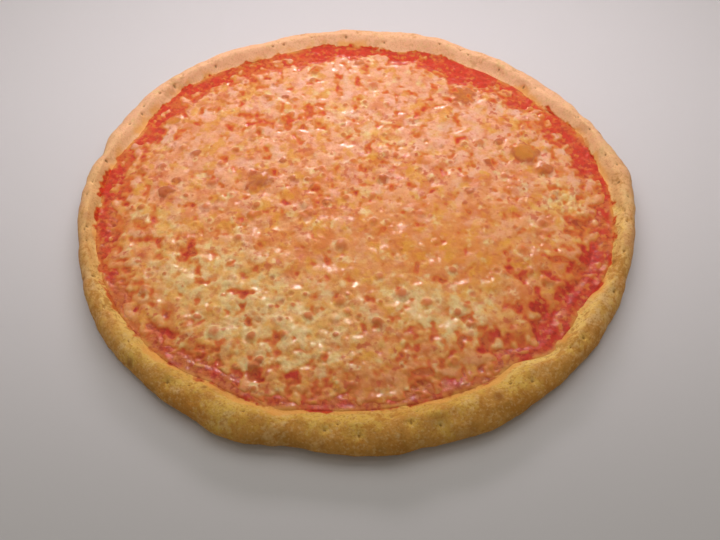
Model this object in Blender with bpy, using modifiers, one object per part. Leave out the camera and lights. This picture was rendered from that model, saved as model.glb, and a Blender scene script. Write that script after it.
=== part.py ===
"""A round cheese pizza, whole and uncut: a baked crust with a raised, uneven rim,
a thin layer of tomato sauce and a layer of melted cheese.

Lengths are in metres and +Z is up. The pizza lies flat on its underside, and
the origin is at the middle of the underside.
"""

import math
import random

import bmesh
import bpy
from mathutils import Vector, noise
from mathutils.bvhtree import BVHTree

# Facets round the crust and the sauce, facets across the cheese and how far
# their grid is turned in degrees, and the clearance between neighbouring layers
STEPS = 132
CHEESE_GRID = 40
CHEESE_GRID_TURN = 28
GAP = 0.0003

# Crust: its mean outer radius, the rim's height, the height where the rim is
# widest, and how far across the rim its crest runs
CRUST_RADIUS = 0.1578
RIM_HEIGHT = 0.0132
RIM_WIDEST = 0.0060
CREST = 0.44
UNDERSIDE_ROUND = 0.0075

# Waves of an edge are (count round the pizza, size, direction in degrees), and
# swellings are (direction in degrees, half width in degrees, size).
CRUST_WAVES = ((2, 0.0019, 168), (3, 0.0013, 17), (5, 0.0009, 8))
CRUST_SWELLINGS = (
    (5, 5, 0.0022),
    (21, 6, -0.0012),
    (144, 6, 0.0009),
    (167, 4, -0.0015),
    (177, 4, 0.0012),
    (226, 6, -0.0010),
    (247, 6, 0.0022),
    (259, 5, -0.0016),
    (345, 7, -0.0012),
)

# Sauce: its mean radius, its thickness and the dough that it lies on
SAUCE_RADIUS = 0.1422
SAUCE_THICKNESS = 0.0012
SAUCE_WAVES = ((1, 0.0018, 120), (2, 0.0053, 177), (3, 0.0014, 111))
SAUCE_SWELLINGS = (
    (19, 4, 0.0028),
    (34, 5, -0.0024),
    (67, 5, 0.0026),
    (80, 5, -0.0034),
    (97, 5, 0.0018),
    (114, 6, -0.0024),
    (137, 7, 0.0022),
    (157, 5, -0.0022),
    (239, 4, -0.0018),
    (254, 4, 0.0018),
    (305, 4, -0.0024),
    (313, 4, 0.0032),
    (328, 5, -0.0022),
)
# The dough's height under the sauce, at distances in from the sauce's edge
BED = ((0.000, 0.0074), (0.004, 0.0062), (0.009, 0.0053), (0.014, 0.0050))

# Cheese: its thickness, and the ring of bare sauce that it leaves
CHEESE_RADIUS = 0.1366
CHEESE_THICKNESS = 0.0023
CHEESE_RING = 0.0048
RAGGED = 0.0018
BARE_SAUCE = (
    (18, 7, 0.0035),
    (56, 8, 0.0080),
    (104, 8, 0.0055),
    (127, 6, 0.0035),
    (183, 5, 0.0055),
    (238, 5, 0.0060),
    (318, 8, 0.0045),
    (348, 6, 0.0060),
)
LUMP_SPACING = 0.013
LUMP_SHARE = 0.55
# Blisters baked up in the cheese: (x, y, radius, height)
BLISTERS = (
    (-0.058, 0.015, 0.011, 0.0016),
    (0.102, 0.033, 0.010, 0.0017),
    (0.070, 0.086, 0.010, 0.0014),
    (0.113, 0.021, 0.008, 0.0010),
    (-0.107, 0.006, 0.007, 0.0012),
)

# Pinholes pricked in the rim: (share of the rim's width, first direction in
# degrees), one row each, with some of the places left out
PINHOLE_ROWS = ((0.30, 2.0), (0.62, 6.0))
PINHOLE_SPACING = 8.0
PINHOLES_KEPT = 0.66
PINHOLE_RADIUS = 0.0008
PINHOLE_DEPTH = 0.0020


def edge_shift(angle, waves, swellings):
    """How far an edge strays from its mean radius in this direction."""
    shift = 0.0
    for count, size, direction in waves:
        shift += size * math.cos(count * (angle - math.radians(direction)))
    for direction, half_width, size in swellings:
        turn = (math.degrees(angle) - direction + 180) % 360 - 180
        shift += size * math.exp(-((turn / half_width) ** 2))
    return shift


def crust_edge(angle):
    return CRUST_RADIUS + edge_shift(angle, CRUST_WAVES, CRUST_SWELLINGS)


def sauce_edge(angle):
    return SAUCE_RADIUS + edge_shift(angle, SAUCE_WAVES, SAUCE_SWELLINGS)


def cheese_edge(angle):
    around = Vector((9 * math.cos(angle), 9 * math.sin(angle), 2.0))
    ragged = RAGGED * noise.noise(around)
    return sauce_edge(angle) - CHEESE_RING - edge_shift(angle, (), BARE_SAUCE) + ragged


def rim_rise(angle):
    """The rim's height above the sauce's edge, as a share of the usual."""
    around = Vector((2.4 * math.cos(angle), 2.4 * math.sin(angle), 7.0))
    return 1.0 + 0.30 * noise.noise(around)


def bed_height(inward):
    """The dough's height at this distance in from the sauce's edge."""
    if inward <= 0:
        return BED[0][1]
    for (near, high), (far, low) in zip(BED, BED[1:]):
        if inward < far:
            return high + (low - high) * (inward - near) / (far - near)
    return BED[-1][1]


def cheese_lumps(x, y):
    """How much thicker the cheese is here, as a share of its thickness."""
    here = Vector((x / LUMP_SPACING, y / LUMP_SPACING, 3.0))
    return LUMP_SHARE * (noise.noise(here) + 0.4 * noise.noise(2.1 * here))


def blister_height(x, y):
    height = 0.0
    for centre_x, centre_y, radius, peak in BLISTERS:
        share = math.hypot(x - centre_x, y - centre_y) / radius
        if share < 1:
            height += peak * (1 - share * share) ** 2
    return height


def crust_relief(x, y, z):
    """Dents and swellings of the baked rim."""
    broad = noise.noise(Vector((x, y, z)) / 0.018)
    fine = noise.noise(Vector((x, y, z)) / 0.009 + Vector((5, 5, 5)))
    return 0.0012 * broad + 0.0004 * fine


def crust_section():
    """Half of the crust's section, from the top middle round to the bottom middle."""
    points = [(0.0, BED[-1][1])]
    points += [(SAUCE_RADIUS - inward, height) for inward, height in reversed(BED)]
    width = CRUST_RADIUS - SAUCE_RADIUS
    crest = SAUCE_RADIUS + CREST * width
    for share in (0.22, 0.46, 0.72, 1.0):
        rise = 0.5 - 0.5 * math.cos(math.pi * (0.12 + 0.88 * share))
        rise = (rise - 0.035) / 0.965
        height = BED[0][1] + (RIM_HEIGHT - BED[0][1]) * rise
        points.append((SAUCE_RADIUS + share * (crest - SAUCE_RADIUS), height))
    for turn in (22, 44, 65, 90):
        turn = math.radians(turn)
        radius = crest + (CRUST_RADIUS - crest) * math.sin(turn)
        height = RIM_WIDEST + (RIM_HEIGHT - RIM_WIDEST) * math.cos(turn)
        points.append((radius, height))
    for turn in (28, 58, 90):
        turn = math.radians(turn)
        radius = CRUST_RADIUS - UNDERSIDE_ROUND * (1 - math.cos(turn))
        height = RIM_WIDEST * (1 - math.sin(turn))
        points.append((radius, height))
    points.append((0.0, 0.0))
    return points


def sauce_section():
    """Half of the sauce's section, with heights above the dough."""
    top = GAP + SAUCE_THICKNESS
    points = [(0.0, top)]
    points += [(SAUCE_RADIUS - inward, top) for inward in (0.014, 0.009, 0.004)]
    points.append((SAUCE_RADIUS - 0.0011, top - 0.0002))
    points.append((SAUCE_RADIUS - 0.0001, GAP + 0.4 * SAUCE_THICKNESS))
    points.append((SAUCE_RADIUS - 0.0008, GAP))
    points += [(SAUCE_RADIUS - inward, GAP) for inward in (0.004, 0.009, 0.014)]
    points.append((0.0, GAP))
    return points


def place_crust(radius, height, angle):
    """Move a point of the turned crust to its place in the uneven crust."""
    inner, outer = sauce_edge(angle), crust_edge(angle)
    if radius <= SAUCE_RADIUS + 1e-6:
        radius += (inner - SAUCE_RADIUS) * min(1, radius / 0.1)
        return radius, height
    share = (radius - SAUCE_RADIUS) / (CRUST_RADIUS - SAUCE_RADIUS)
    radius = inner + share * (outer - inner)
    if height > BED[0][1]:
        height = BED[0][1] + (height - BED[0][1]) * rim_rise(angle)
    if height > 0.001:
        dent = crust_relief(radius * math.cos(angle), radius * math.sin(angle), height)
        tilt = math.pi * (share - 0.5)
        radius += dent * math.sin(tilt)
        height += dent * math.cos(tilt)
    return radius, height


def place_sauce(radius, height, angle):
    """Move a point of the turned sauce onto the dough, out to its uneven edge."""
    inner = sauce_edge(angle)
    radius += (inner - SAUCE_RADIUS) * min(1, radius / 0.1)
    return radius, height + bed_height(inner - radius)


def cheese_point(share, angle, inset, height):
    """A point of the cheese: its share of the way out, then in from the edge.

    The height is above the sauce.
    """
    radius = share * CHEESE_RADIUS - inset
    radius += (cheese_edge(angle) - CHEESE_RADIUS) * share**2
    bed = bed_height(sauce_edge(angle) - radius) + GAP + SAUCE_THICKNESS
    x, y = radius * math.cos(angle), radius * math.sin(angle)
    return Vector((x, y, bed + height))


def as_mesh(obj):
    """Replace the object's data by the mesh that its modifiers make."""
    bpy.context.view_layer.update()
    evaluated = obj.evaluated_get(bpy.context.evaluated_depsgraph_get())
    mesh = bpy.data.meshes.new_from_object(evaluated)
    obj.modifiers.clear()
    obj.data = mesh
    mesh.name = obj.name


def turned_layer(name, section, place, collection):
    """Turn a section about Z, then move each vertex to its place by direction."""
    mesh = bpy.data.meshes.new(name)
    edges = [(i, i + 1) for i in range(len(section) - 1)]
    mesh.from_pydata([(radius, 0, height) for radius, height in section], edges, [])
    obj = bpy.data.objects.new(name, mesh)
    collection.objects.link(obj)
    screw = obj.modifiers.new("turn", "SCREW")
    screw.steps = STEPS
    screw.render_steps = STEPS
    screw.use_merge_vertices = True
    screw.merge_threshold = 0.00001
    as_mesh(obj)
    for vertex in obj.data.vertices:
        x, y, z = vertex.co
        angle = math.atan2(y, x)
        radius, height = place(math.hypot(x, y), z, angle)
        vertex.co = (radius * math.cos(angle), radius * math.sin(angle), height)
    return obj


def cheese_layer(name, collection):
    """A square grid rounded into a disc, with its edge rolled under and filled."""
    sheet = bmesh.new()
    bmesh.ops.create_grid(
        sheet, x_segments=CHEESE_GRID, y_segments=CHEESE_GRID, size=1
    )
    for vertex in sheet.verts:
        across, along = vertex.co.x, vertex.co.y
        x = across * math.sqrt(1 - along * along / 2)
        y = along * math.sqrt(1 - across * across / 2)
        share = min(1, math.hypot(x, y))
        angle = math.atan2(y, x) + math.radians(CHEESE_GRID_TURN)
        place = cheese_point(share, angle, 0.0011, GAP)
        height = CHEESE_THICKNESS * (1 + cheese_lumps(place.x, place.y))
        height += blister_height(place.x, place.y)
        thinning = min(1, (1 - share) / 0.03)
        vertex.co = place + Vector((0, 0, height * (0.55 + 0.45 * thinning)))

    # Each ring is (distance in from the edge, height above the sauce)
    edges = [edge for edge in sheet.edges if edge.is_boundary]
    rings = ((0.0, GAP + 0.0005), (0.0008, GAP), (0.005, GAP), (0.010, GAP))
    for inset, height in (*rings, (0.018, GAP)):
        made = bmesh.ops.extrude_edge_only(sheet, edges=edges)["geom"]
        for vertex in made:
            if isinstance(vertex, bmesh.types.BMVert):
                angle = math.atan2(vertex.co.y, vertex.co.x)
                vertex.co = cheese_point(1, angle, inset, height)
        edges = [
            edge
            for edge in made
            if isinstance(edge, bmesh.types.BMEdge) and edge.is_boundary
        ]
    bmesh.ops.contextual_create(sheet, geom=edges)
    bmesh.ops.recalc_face_normals(sheet, faces=sheet.faces)
    mesh = bpy.data.meshes.new(name)
    sheet.to_mesh(mesh)
    sheet.free()
    obj = bpy.data.objects.new(name, mesh)
    collection.objects.link(obj)
    return obj


def pinhole_cutters(crust, collection):
    """One mesh of small cones, point down, set into the top of the rim."""
    draw = random.Random(11)
    surface = BVHTree.FromObject(crust, bpy.context.evaluated_depsgraph_get())
    cones = bmesh.new()
    for share, first in PINHOLE_ROWS:
        for index in range(int(360 / PINHOLE_SPACING)):
            direction = first + index * PINHOLE_SPACING + draw.uniform(-3, 3)
            across = share + draw.uniform(-0.12, 0.12)
            size = PINHOLE_RADIUS * draw.uniform(0.85, 1.2)
            if draw.random() > PINHOLES_KEPT:
                continue
            angle = math.radians(direction)
            inner, outer = sauce_edge(angle), crust_edge(angle)
            radius = inner + across * (outer - inner)
            x, y = radius * math.cos(angle), radius * math.sin(angle)
            hit = surface.ray_cast(Vector((x, y, 0.05)), Vector((0, 0, -1)))[0]
            made = bmesh.ops.create_cone(
                cones,
                cap_ends=True,
                segments=6,
                radius1=0.3 * size,
                radius2=1.7 * size,
                depth=2 * PINHOLE_DEPTH,
            )
            bmesh.ops.translate(
                cones,
                verts=made["verts"],
                vec=(x, y, hit.z),
            )
    mesh = bpy.data.meshes.new("pinholes")
    cones.to_mesh(mesh)
    cones.free()
    obj = bpy.data.objects.new("pinholes", mesh)
    obj.hide_render = True
    obj.display_type = "WIRE"
    collection.objects.link(obj)
    return obj


def material(name, colour, roughness):
    made = bpy.data.materials.new(name)
    made.use_nodes = True
    shader = made.node_tree.nodes["Principled BSDF"]
    shader.inputs["Base Color"].default_value = (*colour, 1)
    shader.inputs["Roughness"].default_value = roughness
    shader.inputs["Metallic"].default_value = 0
    return made


def set_on_middle(crust, layers):
    """Move all layers so that the origin is at the middle of the crust."""
    xs = [vertex.co.x for vertex in crust.data.vertices]
    ys = [vertex.co.y for vertex in crust.data.vertices]
    middle = Vector(((min(xs) + max(xs)) / 2, (min(ys) + max(ys)) / 2, 0))
    for layer in layers:
        for vertex in layer.data.vertices:
            vertex.co -= middle


def build():
    for obj in list(bpy.data.objects):
        bpy.data.objects.remove(obj)
    pizza = bpy.data.collections.new("cheese_pizza")
    cutters = bpy.data.collections.new("cutters")
    bpy.context.scene.collection.children.link(pizza)
    bpy.context.scene.collection.children.link(cutters)

    crust = turned_layer("crust", crust_section(), place_crust, pizza)
    sauce = turned_layer("sauce", sauce_section(), place_sauce, pizza)
    cheese = cheese_layer("cheese", pizza)

    # Pinholes in the rim
    cut = crust.modifiers.new("pinholes", "BOOLEAN")
    cut.operation = "DIFFERENCE"
    cut.object = pinhole_cutters(crust, cutters)
    as_mesh(crust)

    set_on_middle(crust, (crust, sauce, cheese))

    crust.data.materials.clear()
    crust.data.materials.append(material("baked_dough", (0.61, 0.37, 0.16), 0.75))
    sauce.data.materials.append(material("tomato_sauce", (0.62, 0.08, 0.02), 0.35))
    cheese.data.materials.append(material("melted_cheese", (0.85, 0.48, 0.20), 0.38))
    for obj in (crust, sauce, cheese):
        obj.data.shade_smooth()
        obj.data.set_sharp_from_angle(angle=math.radians(50))


build()
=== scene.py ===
"""Looks of a whole cheese pizza: baked dough, tomato sauce and melted cheese.

Lengths are in metres and +Z is up. Outlines are given about the pizza's turning
centre, and everything is moved from there to the frame at the end.
"""
import math
import random

import bpy
import numpy as np
from mathutils import Matrix, Vector, noise


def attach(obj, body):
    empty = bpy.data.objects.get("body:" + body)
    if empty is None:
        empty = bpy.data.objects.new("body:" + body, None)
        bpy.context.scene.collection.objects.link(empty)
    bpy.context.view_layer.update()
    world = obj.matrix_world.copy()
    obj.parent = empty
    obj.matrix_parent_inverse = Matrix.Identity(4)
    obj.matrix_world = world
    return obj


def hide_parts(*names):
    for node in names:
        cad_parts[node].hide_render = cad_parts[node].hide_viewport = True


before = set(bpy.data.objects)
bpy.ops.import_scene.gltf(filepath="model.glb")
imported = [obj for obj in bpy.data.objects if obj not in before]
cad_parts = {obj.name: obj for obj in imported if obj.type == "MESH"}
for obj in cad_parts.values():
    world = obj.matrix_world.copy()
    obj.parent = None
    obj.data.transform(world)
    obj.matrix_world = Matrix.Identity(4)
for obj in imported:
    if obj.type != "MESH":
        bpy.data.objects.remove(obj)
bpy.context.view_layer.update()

# The turning centre, seen from the frame's origin
TURNING_CENTRE = (-0.00205, 0.00030)

# Sizes that the solids have too. CREST is how far across the rim its crest lies. The
# rim's inner slope is a half wave that starts at SLOPE_START, where it is SLOPE_FOOT high.
GAP = 0.0003
CRUST_RADIUS = 0.1578
RIM_HEIGHT = 0.0132
RIM_WIDEST = 0.0060
CREST = 0.44
SLOPE_START = 0.12
SLOPE_FOOT = 0.035
UNDERSIDE_ROUND = 0.0075
SAUCE_RADIUS = 0.1422
SAUCE_THICKNESS = 0.0012
CHEESE_RADIUS = 0.1366
CHEESE_THICKNESS = 0.0023
CHEESE_RING = 0.0048
RAGGED = 0.0018

# The layers' innermost ring, and the radius inside which an edge's shifts fade out
INNERMOST = 0.012
FADE_RADIUS = 0.1

# How far the lacy cheese reaches past the solid's edge, and how well cheese
# covers the sauce at distances in from that edge
FRINGE = 0.0040
COVER_DISTANCES = (-0.0040, 0.0, 0.004, 0.008, 0.012, 0.018, 0.030)
COVER_LEVELS = (-2.0, -1.2, -0.3, 0.5, 1.1, 1.7, 2.0)
# The sauce's top over the dough, at distances in from the sauce's edge
SAUCE_DISTANCES = (-0.0015, 0.0, 0.0055)
SAUCE_TOPS = (-0.0008, 0.0003, GAP + SAUCE_THICKNESS)
# How far in the sauce is finely divided, and how deep its edge sinks into the dough
SAUCE_SHOWN = 0.034
SAUCE_SUNK = 0.0004
# The cheese's underside: (distance in from its edge, height over the sauce's top)
CHEESE_UNDERSIDE = ((0.0012, -0.0012), (0.012, -0.0004), (0.020, GAP), (0.05, GAP), (0.12, GAP))

# Waves of an edge are (count round the pizza, size, direction in degrees), and
# swellings are (direction in degrees, half width in degrees, size).
CRUST_WAVES = ((2, 0.0019, 168), (3, 0.0013, 17), (5, 0.0009, 8))
CRUST_SWELLINGS = (
    (5, 5, 0.0022),
    (21, 6, -0.0012),
    (144, 6, 0.0009),
    (167, 4, -0.0015),
    (177, 4, 0.0012),
    (226, 6, -0.0010),
    (247, 6, 0.0022),
    (259, 5, -0.0016),
    (345, 7, -0.0012),
)
SAUCE_WAVES = ((1, 0.0018, 120), (2, 0.0053, 177), (3, 0.0014, 111))
SAUCE_SWELLINGS = (
    (19, 4, 0.0028),
    (34, 5, -0.0024),
    (67, 5, 0.0026),
    (80, 5, -0.0034),
    (97, 5, 0.0018),
    (114, 6, -0.0024),
    (137, 7, 0.0022),
    (157, 5, -0.0022),
    (239, 4, -0.0018),
    (254, 4, 0.0018),
    (305, 4, -0.0024),
    (313, 4, 0.0032),
    (328, 5, -0.0022),
)
BARE_SAUCE = (
    (18, 7, 0.0035),
    (56, 8, 0.0080),
    (104, 8, 0.0055),
    (127, 6, 0.0035),
    (183, 5, 0.0055),
    (238, 5, 0.0060),
    (318, 8, 0.0045),
    (348, 6, 0.0060),
)
# The dough's height under the sauce, at distances in from the sauce's edge
BED_DISTANCES = (0.000, 0.004, 0.009, 0.014)
BED_HEIGHTS = (0.0074, 0.0062, 0.0053, 0.0050)
LUMP_SPACING = 0.013
LUMP_SHARE = 0.55

# Blisters baked up in the cheese: (x, y, radius, height, browning, golden share)
BLISTERS = (
    (0.1034, 0.0337, 0.0096, 0.0020, 1.5, 1.0),
    (-0.0558, 0.0155, 0.0094, 0.0017, 0.9, 0.55),
    (0.0720, 0.0862, 0.0086, 0.0017, 1.1, 0.5),
    (0.1135, 0.0195, 0.0060, 0.0014, 1.1, 0.4),
    (-0.1100, 0.0077, 0.0048, 0.0014, 1.5, 0.0),
    (-0.1135, 0.0674, 0.0058, 0.0008, 0.6, 0.8),
    (0.0053, 0.1217, 0.0045, 0.0009, 0.9, 0.3),
    (-0.1046, 0.0162, 0.0034, 0.0007, 1.1, 0.0),
    (-0.0954, 0.0383, 0.0034, 0.0007, 1.1, 0.0),
    (-0.0224, 0.0103, 0.0036, 0.0007, 0.9, 0.0),
    (0.0179, 0.0146, 0.0036, 0.0007, 0.9, 0.0),
    (0.0674, 0.0037, 0.0036, 0.0007, 1.0, 0.0),
    (0.0810, 0.0267, 0.0032, 0.0007, 1.0, 0.0),
    (0.0899, 0.0437, 0.0036, 0.0008, 1.0, 0.0),
    (-0.0155, -0.0033, 0.0032, 0.0006, 0.9, 0.0),
    (-0.0360, 0.0167, 0.0032, 0.0007, 1.0, 0.0),
    (-0.0426, 0.0311, 0.0030, 0.0006, 1.0, 0.0),
    (-0.0430, 0.0887, 0.0032, 0.0006, 1.0, 0.0),
    (-0.0260, 0.1043, 0.0028, 0.0006, 0.9, 0.0),
)
# Places in the cheese: (x, y, radius, strength)
RED_PLACES = (
    (-0.031, 0.069, 0.017, 1.0),
    (-0.062, 0.062, 0.011, 1.0),
    (-0.056, 0.102, 0.007, 1.0),
    (0.048, 0.076, 0.011, 0.8),
    (0.018, 0.040, 0.009, 0.6),
    (-0.017, 0.004, 0.010, 0.6),
    (-0.049, -0.015, 0.008, 0.7),
    (-0.092, -0.038, 0.009, 1.1),
    (-0.078, -0.024, 0.005, 0.8),
    (0.032, -0.097, 0.012, 1.0),
    (0.064, -0.098, 0.014, 0.8),
    (0.097, -0.076, 0.014, 1.1),
    (0.114, -0.050, 0.012, 1.0),
    (0.084, -0.055, 0.010, 0.7),
    (0.090, -0.020, 0.008, 0.5),
    (0.122, -0.022, 0.008, 0.8),
    (-0.031, -0.116, 0.006, 1.1),
    (0.062, 0.044, 0.007, 0.6),
)
CREAM_PLACES = (
    (-0.098, -0.052, 0.020, 0.8),
    (-0.060, -0.076, 0.028, 1.0),
    (-0.026, -0.092, 0.026, 0.9),
    (0.030, -0.078, 0.022, 0.9),
    (0.060, -0.084, 0.018, 0.8),
    (0.120, -0.006, 0.012, 0.9),
    (-0.110, -0.016, 0.012, 0.7),
    (-0.070, -0.045, 0.018, 0.4),
    (0.015, 0.052, 0.012, 0.6),
    (-0.008, 0.066, 0.014, 0.5),
)
OIL_PLACES = (
    (0.052, -0.036, 0.030, 1.0),
    (0.012, -0.020, 0.026, 0.5),
    (-0.038, -0.028, 0.020, 0.4),
)
# Arcs where the ring beside the crust is wide and deep red, or where cheese fills it
RED_ARCS = (
    (15, 12, 0.5),
    (57, 13, 0.9),
    (80, 5, 0.3),
    (97, 8, 1.3),
    (115, 8, -0.5),
    (145, 12, 0.3),
    (182, 12, -0.4),
    (213, 12, -1.0),
    (240, 12, -1.0),
    (280, 14, -1.2),
    (301, 7, -0.8),
    (330, 12, 0.5),
    (352, 8, -0.8),
)
# Arcs of the crust's inner slope that are stained orange, and that stay pale
SEEP_ARCS = ((258, 26, 1.0),)
PALE_ARCS = ((318, 24, 1.0), (212, 14, 0.7), (350, 8, 0.6))

# Smooth places with few bubbles and specks: (x, y, radius, strength)
CALM_PLACES = (
    (-0.030, 0.103, 0.042, 0.9),
    (0.030, 0.104, 0.028, 0.7),
    (-0.088, 0.050, 0.026, 0.8),
    (-0.008, 0.042, 0.020, 0.5),
    (0.052, -0.036, 0.034, 0.8),
    (-0.005, -0.045, 0.028, 0.7),
    (-0.088, -0.004, 0.020, 0.5),
    (0.062, 0.056, 0.018, 0.7),
)

# Darker spots on the crust: (direction in degrees, radius, size, strength)
ROAST_PLACES = (
    (239, 0.1427, 0.0020, 0.9),
    (241, 0.1401, 0.0017, 0.9),
    (243, 0.1388, 0.0015, 0.8),
    (257, 0.1477, 0.0017, 0.7),
    (266, 0.1522, 0.0028, 0.5),
    (290, 0.1552, 0.0028, 0.6),
    (297, 0.1473, 0.0036, 0.8),
    (249, 0.1411, 0.0026, 0.5),
    (340, 0.1475, 0.0024, 1.1),
    (224, 0.1560, 0.0032, 0.9),
    (217, 0.1450, 0.0026, 0.7),
    (211, 0.1480, 0.0026, 0.6),
    (201, 0.1555, 0.0018, 1.0),
    (188, 0.1580, 0.0024, 0.6),
    (17, 0.1585, 0.0022, 1.0),
    (40, 0.1425, 0.0030, 1.0),
    (264, 0.1540, 0.0022, 0.6),
)

# Colours, as linear red, green and blue
# Painted light: the dough's pale tone towards the far side
DOUGH_FAR_LIT = (0.95, 0.53, 0.32)
DOUGH_CREAM = (0.73, 0.45, 0.09)
DOUGH_GOLD = (0.65, 0.350, 0.060)
DOUGH_TAN = (0.60, 0.282, 0.055)
DOUGH_BROWN = (0.44, 0.200, 0.030)
DOUGH_TOASTED = (0.50, 0.20, 0.028)
DOUGH_FLOUR = (0.80, 0.54, 0.23)
ROASTED = (0.34, 0.12, 0.02)
SAUCE_STAIN = (0.70, 0.27, 0.06)
# Painted shade in the pinholes
PINHOLE_SHADE = (0.28, 0.14, 0.035)
SEEPED = (0.84, 0.38, 0.085)
PEACH = (0.82, 0.37, 0.120)
ORANGE = (0.76, 0.27, 0.036)
DEEP_ORANGE = (0.68, 0.165, 0.028)
CREAM = (0.86, 0.63, 0.275)
TOASTED = (0.64, 0.155, 0.030)
BLISTERED = (0.50, 0.105, 0.022)
YOLK = (0.66, 0.25, 0.028)
OILY_YELLOW = (0.78, 0.36, 0.030)
# Milky patches of cheese, and partly a painted sheen
MILKY_AND_SHEEN = (0.90, 0.55, 0.41)
# Painted light: paler, pinker peach towards the far side
PEACH_FAR_LIT = (0.92, 0.46, 0.29)
GOLDEN_CREAM = (0.86, 0.50, 0.13)
RED_FLECK = (0.62, 0.11, 0.035)
CRATER_RED = (0.56, 0.10, 0.03)
THIN_CHEESE = (0.72, 0.235, 0.035)
RED_CHEESE = (0.70, 0.125, 0.02)
SAUCE_RED = (0.60, 0.032, 0.010)
SAUCE_ORANGE = (0.66, 0.11, 0.018)
SAUCE_DARK = (0.40, 0.022, 0.007)
OILY_ORANGE = (0.70, 0.24, 0.035)
SAUCE_BROWN = (0.58, 0.15, 0.025)
SAUCE_RIM = (0.74, 0.38, 0.07)
# Painted light: lighter red sauce towards the far side
SAUCE_FAR_LIT = (0.80, 0.09, 0.045)
SLOPE_CREAM = (0.88, 0.61, 0.17)

# Steps round the crust and the sauce, and the cheese's grid with its turn in degrees
CRUST_STEPS = 1200
SAUCE_STEPS = 900
CHEESE_GRID = 296
CHEESE_GRID_TURN = 28

# Bubbles in the cheese
DOMES = 360
DOME_RADII = (0.0012, 0.0034)
CRATERS = 170
CRATER_RADII = (0.0011, 0.0023)
LARGE_DOMES = 60
LARGE_DOME_RADII = (0.0028, 0.0046)
# How far smooth noise commonly strays from 0
NOISE_REACH = 0.34

# Pinholes pricked in the rim: (share of the rim's width, first direction in degrees)
PINHOLE_ROWS = ((0.30, 2.0), (0.62, 6.0))
PINHOLE_SPACING = 8.0
PINHOLES_KEPT = 0.66
PINHOLE_RADIUS = 0.0008
PIT_DEPTH = 0.0014
DIMPLE_RADIUS = 0.0045
DIMPLE_DEPTH = 0.0009

# The dough's relief between the pinholes: (height, size of its bumps, noise seed)
DOUGH_RELIEF = (
    (0.00045, 0.011, 13.0),
    (0.00035, 0.006, 3.0),
    (0.00016, 0.0026, 5.0),
    (0.00007, 0.0013, 9.0),
)

# The camera, with its turns in degrees and its lens in millimetres
CAMERA_PLACE = (0.00069, -0.29577, 0.339)
CAMERA_TILT = 36.4
CAMERA_ROLL = -1.1
SENSOR_WIDTH = 36
LENS = 38.15

# The floor and what lies round the pizza
FLOOR_HALF = 2.0
FLOOR_COLOUR = (0.66, 0.64, 0.62)
SKY_COLOUR = (1.0, 0.98, 0.88)
SKY_STRENGTH = 0.24
BACKDROP_COLOUR = (0.18, 0.172, 0.165)


def noise_at(x, y, z, size, shift=0.0):
    """Smooth noise, about -0.7 to 0.7, whose bumps are about this size."""
    x, y, z = np.broadcast_arrays(x, y, z)
    points = np.stack([x / size, y / size, z / size + shift], -1)
    values = [noise.noise(point) for point in points.reshape(-1, 3).tolist()]
    return np.array(values).reshape(x.shape)


def smooth(value, low, high):
    """0 below low and 1 above high, with a smooth rise between."""
    share = np.clip((value - low) / (high - low), 0, 1)
    return share * share * (3 - 2 * share)


def edge_shift(angle, waves, swellings):
    """How far an edge strays from its mean radius in this direction."""
    shift = np.zeros_like(angle)
    for count, size, direction in waves:
        shift += size * np.cos(count * (angle - math.radians(direction)))
    for direction, half_width, size in swellings:
        turn = (np.degrees(angle) - direction + 180) % 360 - 180
        shift += size * np.exp(-((turn / half_width) ** 2))
    return shift


def crust_edge(angle):
    return CRUST_RADIUS + edge_shift(angle, CRUST_WAVES, CRUST_SWELLINGS)


def sauce_edge(angle):
    return SAUCE_RADIUS + edge_shift(angle, SAUCE_WAVES, SAUCE_SWELLINGS)


def cheese_edge(angle):
    ragged = RAGGED * noise_at(9 * np.cos(angle), 9 * np.sin(angle), 2.0, 1.0)
    return sauce_edge(angle) - CHEESE_RING - edge_shift(angle, (), BARE_SAUCE) + ragged


def bed_height(inward):
    """The dough's height at this distance in from the sauce's edge."""
    return np.interp(inward, BED_DISTANCES, BED_HEIGHTS)


def sauce_top(inward):
    """The sauce's top at this distance in from the sauce's edge."""
    return bed_height(inward) + np.interp(inward, SAUCE_DISTANCES, SAUCE_TOPS)


def places(x, y, spots):
    """How strongly the named places reach each point."""
    total = np.zeros_like(x)
    for centre_x, centre_y, radius, strength in spots:
        away = (x - centre_x) ** 2 + (y - centre_y) ** 2
        total += strength * np.exp(-away / radius**2)
    return total


def polar_places(spots):
    """Places given by direction in degrees and radius, as places given by x and y."""
    found = []
    for direction, radius, size, strength in spots:
        angle = math.radians(direction)
        found.append((radius * math.cos(angle), radius * math.sin(angle), size, strength))
    return found


def far_lit_share(y):
    """0 at the near edge and 1 at the far edge; it sets how much paler, pinker colour is painted in as
    light falling on the far side.
    """
    return smooth(y, -0.13, 0.11)


def lofted(name, x, y, z):
    """A closed mesh through rings of points; the first and last ring are fanned shut."""
    rings, steps = x.shape
    points = np.stack([x, y, z], -1)
    ends = points[[0, -1]].mean(1)
    vertices = np.concatenate([points.reshape(-1, 3), ends])
    here = np.arange(steps)
    after = (here + 1) % steps
    faces = []
    for ring in range(rings - 1):
        near, far = ring * steps, (ring + 1) * steps
        faces += np.stack([near + here, far + here, far + after, near + after], 1).tolist()
    first, last = rings * steps, rings * steps + 1
    outer = (rings - 1) * steps
    faces += np.stack([np.full(steps, first), here, after], 1).tolist()
    faces += np.stack([np.full(steps, last), outer + after, outer + here], 1).tolist()
    return made_object(name, vertices, faces)


def made_object(name, vertices, faces):
    """A new smooth object, moved from the turning centre to its place in the frame."""
    vertices = vertices + np.array([*TURNING_CENTRE, 0.0])
    mesh = bpy.data.meshes.new(name)
    mesh.from_pydata(vertices.tolist(), [], faces)
    mesh.validate()
    mesh.shade_smooth()
    obj = bpy.data.objects.new(name, mesh)
    bpy.context.scene.collection.objects.link(obj)
    return obj


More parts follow.
